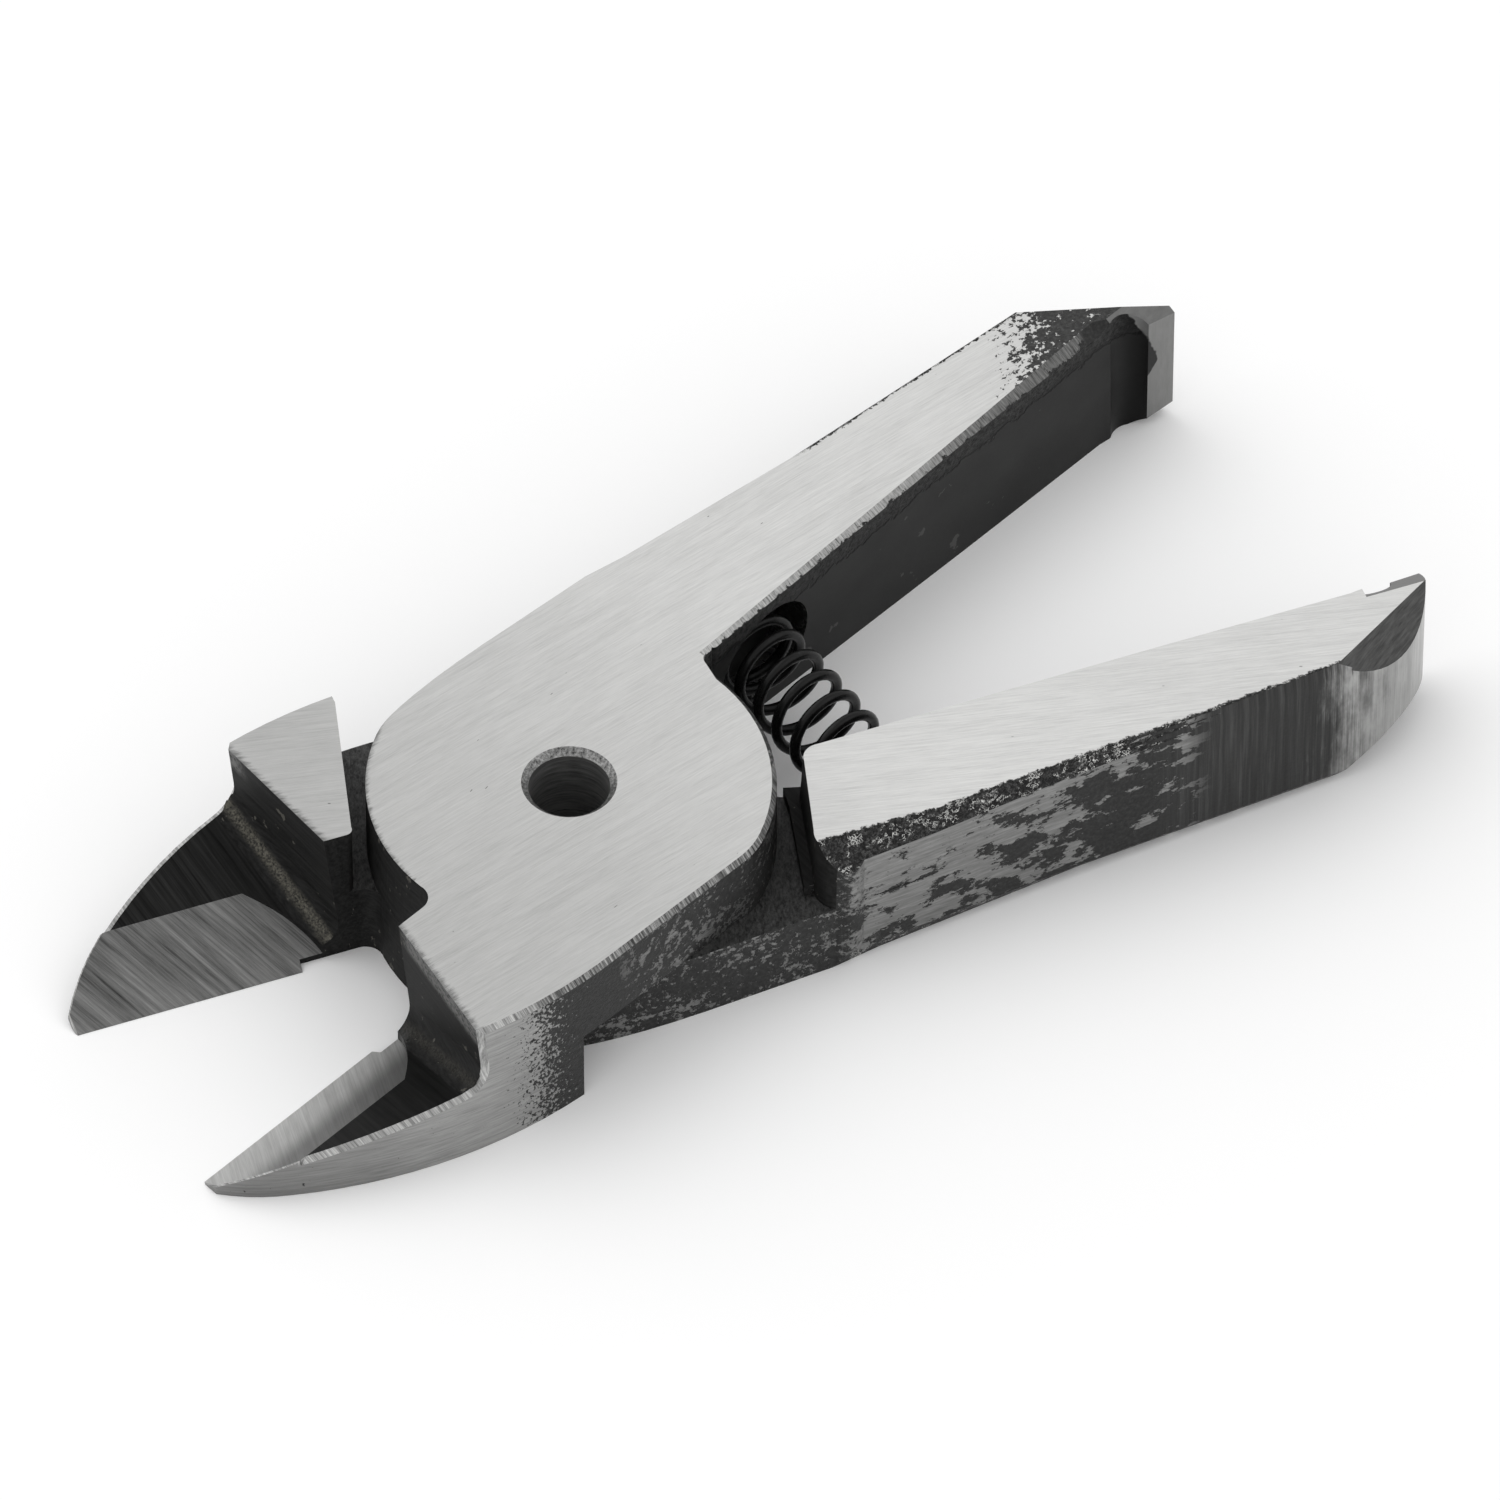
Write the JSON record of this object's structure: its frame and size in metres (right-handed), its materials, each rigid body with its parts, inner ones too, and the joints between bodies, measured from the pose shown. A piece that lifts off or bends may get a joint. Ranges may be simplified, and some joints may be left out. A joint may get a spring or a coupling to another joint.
{
  "type": "lap-jointed flush cutter blade set",
  "caption": "Pair of lap-jointed flush-cutting blades with a shared pivot bolt bore, milled jaws, straight tails and a coil return spring between the tails.",
  "frame": {"origin": "on the pivot bore's axis, midway between the two ground faces", "axes": "+Z along the pivot bore out of the upper blade's ground face; +X along the bisector of the open tool, towards the tails; jaws point to -X"},
  "size_m": [0.085, 0.0368, 0.0104],
  "materials": {
    "ground_steel": "ground faces brushed along each blade, sides left in dark forge scale",
    "spring_wire": "black, glossy drawn wire"
  },
  "bodies": {
    "lower_blade": {"blade_lower": "ground_steel", "return_spring": "spring_wire"},
    "upper_blade": {"blade_upper": "ground_steel"}
  },
  "joints": [
    {"name": "jaw_pivot", "type": "hinge", "parent": "lower_blade", "child": "upper_blade", "pos_m": [0, 0, 0], "axis": [0, 0, 1], "range_deg": [-25.6, 0], "stiffness_Nm_per_rad": 0.9, "deforming": ["return_spring"]}
  ]
}
